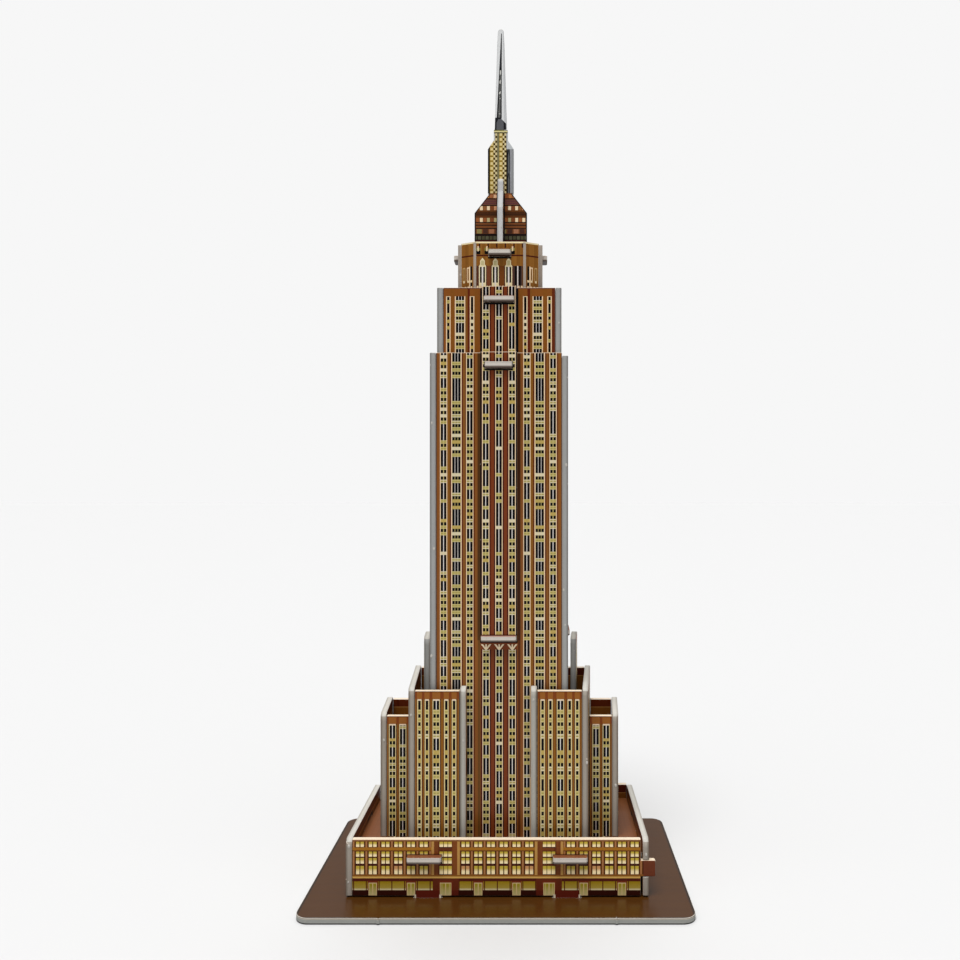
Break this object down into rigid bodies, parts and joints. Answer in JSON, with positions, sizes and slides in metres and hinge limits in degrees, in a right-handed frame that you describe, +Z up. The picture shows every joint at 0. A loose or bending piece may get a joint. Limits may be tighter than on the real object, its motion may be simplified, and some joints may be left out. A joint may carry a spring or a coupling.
{
  "type": "miniature landmark model",
  "caption": "Slot-together foam-board model of a setback skyscraper on a rounded base plate, with a walled podium, wings, a crown and a tall mast.",
  "frame": {"origin": "centre of the base plate's underside", "axes": "+Z up along the mast; the decorated front faces -Y; +X to the right seen from the front"},
  "size_m": [0.15, 0.0966, 0.3564],
  "materials": {
    "base_print": "glossy printed film over foam board, bare pale foam at the cut edges",
    "podium_print": "glossy printed film over foam board, bare pale foam at the cut edges",
    "floor_print": "glossy printed film over foam board, bare pale foam at the cut edges",
    "tower_print": "glossy printed film over foam board, bare pale foam at the cut edges",
    "bay_print": "glossy printed film over foam board, bare pale foam at the cut edges",
    "wing_print": "glossy printed film over foam board, bare pale foam at the cut edges",
    "crown_print": "glossy printed film over foam board, bare pale foam at the cut edges",
    "mast_print": "glossy printed film over foam board, bare pale foam at the cut edges"
  },
  "bodies": {
    "root": {"base_plate": "base_print", "podium_front": "podium_print", "podium_back": "podium_print", "podium_left": "podium_print", "podium_right": "podium_print", "podium_deck": "floor_print", "tower_floor_low": "floor_print", "tower_floor_high": "floor_print", "upper_floor": "floor_print", "crown_floor": "floor_print", "tower_front": "tower_print", "tower_back": "tower_print", "tower_left": "tower_print", "tower_right": "tower_print", "upper_front": "tower_print", "upper_back": "tower_print", "upper_left": "tower_print", "upper_right": "tower_print", "bay_front": "bay_print", "bay_back": "bay_print", "upper_bay_front": "bay_print", "upper_bay_back": "bay_print", "wing_front_left": "wing_print", "wing_front_right": "wing_print", "wing_back_left": "wing_print", "wing_back_right": "wing_print", "wing_inner_front_left": "wing_print", "wing_inner_front_right": "wing_print", "wing_inner_back_left": "wing_print", "wing_inner_back_right": "wing_print", "wing_outer_left": "wing_print", "wing_outer_right": "wing_print", "annex_front_left": "wing_print", "annex_front_right": "wing_print", "annex_back_left": "wing_print", "annex_back_right": "wing_print", "annex_outer_left": "wing_print", "annex_outer_right": "wing_print", "side_bay_left": "wing_print", "side_bay_right": "wing_print", "crown_front": "crown_print", "crown_back": "crown_print", "crown_left": "crown_print", "crown_right": "crown_print", "mast_front": "mast_print", "mast_cross": "mast_print"}
  },
  "joints": []
}
